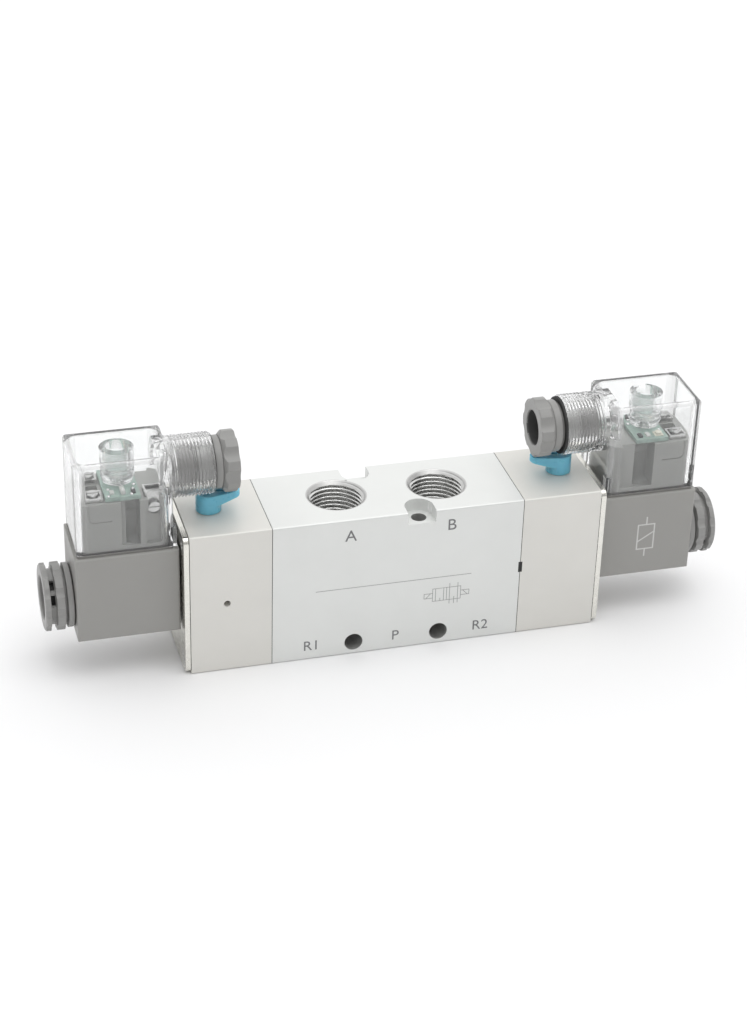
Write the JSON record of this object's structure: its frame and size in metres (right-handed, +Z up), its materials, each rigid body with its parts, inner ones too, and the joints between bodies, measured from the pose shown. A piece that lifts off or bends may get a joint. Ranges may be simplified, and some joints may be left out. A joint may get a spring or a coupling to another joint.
{
  "type": "solenoid directional valve",
  "caption": "Double-solenoid 5/2 directional valve: block body with threaded ports, end blocks with override levers, square coils and clear plug connectors with cable glands.",
  "frame": {"origin": "the middle of the valve body's bottom face, which is also the bottom centre of the whole valve's box", "axes": "+X along the valve from the left coil to the right coil, -Y towards the front face that carries the port marks, +Z up through ports A and B"},
  "size_m": [0.204, 0.03, 0.0704],
  "materials": {
    "body_alloy": "satin, fine blasted",
    "block_alloy": "satin, fine blasted",
    "plate_steel": "bright plated",
    "screw_steel": "zinc plated",
    "tube_steel": "turned",
    "yoke_steel": "plain strip",
    "clamp_steel": "nickel plated",
    "spool_alloy": "turned and anodised",
    "copper": "enamelled copper wire",
    "blade_brass": "tinned",
    "coil_plastic": "smooth moulded",
    "nut_plastic": "smooth moulded",
    "insert_plastic": "smooth moulded",
    "bobbin_plastic": "moulded",
    "piston_plastic": "moulded acetal",
    "gasket_grey": "flat sheet",
    "seal_rubber": "moulded",
    "cap_clear": "clear polycarbonate",
    "lever_plastic": "translucent sky blue",
    "board_green": "pale green circuit board"
  },
  "bodies": {
    "valve": {"valve_body": "body_alloy", "left_body_gasket": "seal_rubber", "left_end_block": "block_alloy", "left_plate_gasket": "seal_rubber", "left_end_plate": "plate_steel", "left_plate_screws": "screw_steel", "left_armature_tube": "tube_steel", "left_tube_seal": "seal_rubber", "left_plunger_spring": "screw_steel", "left_coil_case": "coil_plastic", "left_coil_yoke": "yoke_steel", "left_coil_bobbin": "bobbin_plastic", "left_coil_winding": "copper", "left_coil_terminals": "blade_brass", "left_connector_gasket": "gasket_grey", "left_connector_cap": "cap_clear", "left_connector_insert": "insert_plastic", "left_terminal_clamps": "clamp_steel", "left_led_board": "board_green", "left_gland_washer": "seal_rubber", "left_gland_grommet": "seal_rubber", "right_body_gasket": "seal_rubber", "right_end_block": "block_alloy", "right_plate_gasket": "seal_rubber", "right_end_plate": "plate_steel", "right_plate_screws": "screw_steel", "right_armature_tube": "tube_steel", "right_tube_seal": "seal_rubber", "right_plunger_spring": "screw_steel", "right_coil_case": "coil_plastic", "right_coil_yoke": "yoke_steel", "right_coil_bobbin": "bobbin_plastic", "right_coil_winding": "copper", "right_coil_terminals": "blade_brass", "right_connector_gasket": "gasket_grey", "right_connector_cap": "cap_clear", "right_connector_insert": "insert_plastic", "right_terminal_clamps": "clamp_steel", "right_led_board": "board_green", "right_gland_washer": "seal_rubber", "right_gland_grommet": "seal_rubber"},
    "spool": {"spool": "spool_alloy", "spool_seals": "seal_rubber"},
    "left_piston_set": {"left_piston": "piston_plastic", "left_piston_seal": "seal_rubber"},
    "left_plunger_set": {"left_plunger": "tube_steel"},
    "left_lever_set": {"left_override_lever": "lever_plastic", "left_lever_seal": "seal_rubber"},
    "left_coil_nut_set": {"left_coil_nut": "nut_plastic"},
    "left_gland_nut_set": {"left_gland_nut": "nut_plastic"},
    "left_connector_screw_set": {"left_connector_screw": "screw_steel"},
    "right_piston_set": {"right_piston": "piston_plastic", "right_piston_seal": "seal_rubber"},
    "right_plunger_set": {"right_plunger": "tube_steel"},
    "right_lever_set": {"right_override_lever": "lever_plastic", "right_lever_seal": "seal_rubber"},
    "right_coil_nut_set": {"right_coil_nut": "nut_plastic"},
    "right_gland_nut_set": {"right_gland_nut": "nut_plastic"},
    "right_connector_screw_set": {"right_connector_screw": "screw_steel"}
  },
  "joints": [
    {"name": "spool_shift", "type": "slide", "parent": "valve", "child": "spool", "axis": [1, 0, 0], "range_m": [0, 0.0045]},
    {"name": "left_piston_slide", "type": "slide", "parent": "valve", "child": "left_piston_set", "axis": [1, 0, 0], "range_m": [0, 0.0045]},
    {"name": "left_plunger_lift", "type": "slide", "parent": "valve", "child": "left_plunger_set", "axis": [-1, 0, 0], "range_m": [0, 0.0008], "stiffness_N_per_m": 500, "springref_m": -0.004, "deforming": ["left_plunger_spring"]},
    {"name": "left_override_turn", "type": "hinge", "parent": "valve", "child": "left_lever_set", "pos_m": [-0.053, 0, 0.046], "axis": [0, 0, 1], "range_deg": [0, 90]},
    {"name": "left_coil_nut_turn", "type": "hinge", "parent": "valve", "child": "left_coil_nut_set", "pos_m": [-0.0977, 0, 0.023], "axis": [-1, 0, 0], "continuous": true},
    {"name": "left_gland_nut_turn", "type": "hinge", "parent": "valve", "child": "left_gland_nut_set", "pos_m": [-0.05, 0, 0.0614], "axis": [1, 0, 0], "continuous": true},
    {"name": "left_connector_screw_turn", "type": "hinge", "parent": "valve", "child": "left_connector_screw_set", "pos_m": [-0.079, 0, 0.061], "axis": [0, 0, 1], "continuous": true},
    {"name": "right_piston_slide", "type": "slide", "parent": "valve", "child": "right_piston_set", "axis": [1, 0, 0], "range_m": [0, 0.0045]},
    {"name": "right_plunger_lift", "type": "slide", "parent": "valve", "child": "right_plunger_set", "axis": [1, 0, 0], "range_m": [0, 0.0008], "stiffness_N_per_m": 500, "springref_m": -0.004, "deforming": ["right_plunger_spring"]},
    {"name": "right_override_turn", "type": "hinge", "parent": "valve", "child": "right_lever_set", "pos_m": [0.053, 0, 0.046], "axis": [0, 0, 1], "range_deg": [0, 90]},
    {"name": "right_coil_nut_turn", "type": "hinge", "parent": "valve", "child": "right_coil_nut_set", "pos_m": [0.0977, 0, 0.023], "axis": [1, 0, 0], "continuous": true},
    {"name": "right_gland_nut_turn", "type": "hinge", "parent": "valve", "child": "right_gland_nut_set", "pos_m": [0.05, 0, 0.0614], "axis": [-1, 0, 0], "continuous": true},
    {"name": "right_connector_screw_turn", "type": "hinge", "parent": "valve", "child": "right_connector_screw_set", "pos_m": [0.079, 0, 0.061], "axis": [0, 0, 1], "continuous": true}
  ],
  "couplings": [
    {"joint": "left_piston_slide", "follows": "spool_shift", "ratio": 1},
    {"joint": "right_piston_slide", "follows": "spool_shift", "ratio": 1}
  ]
}
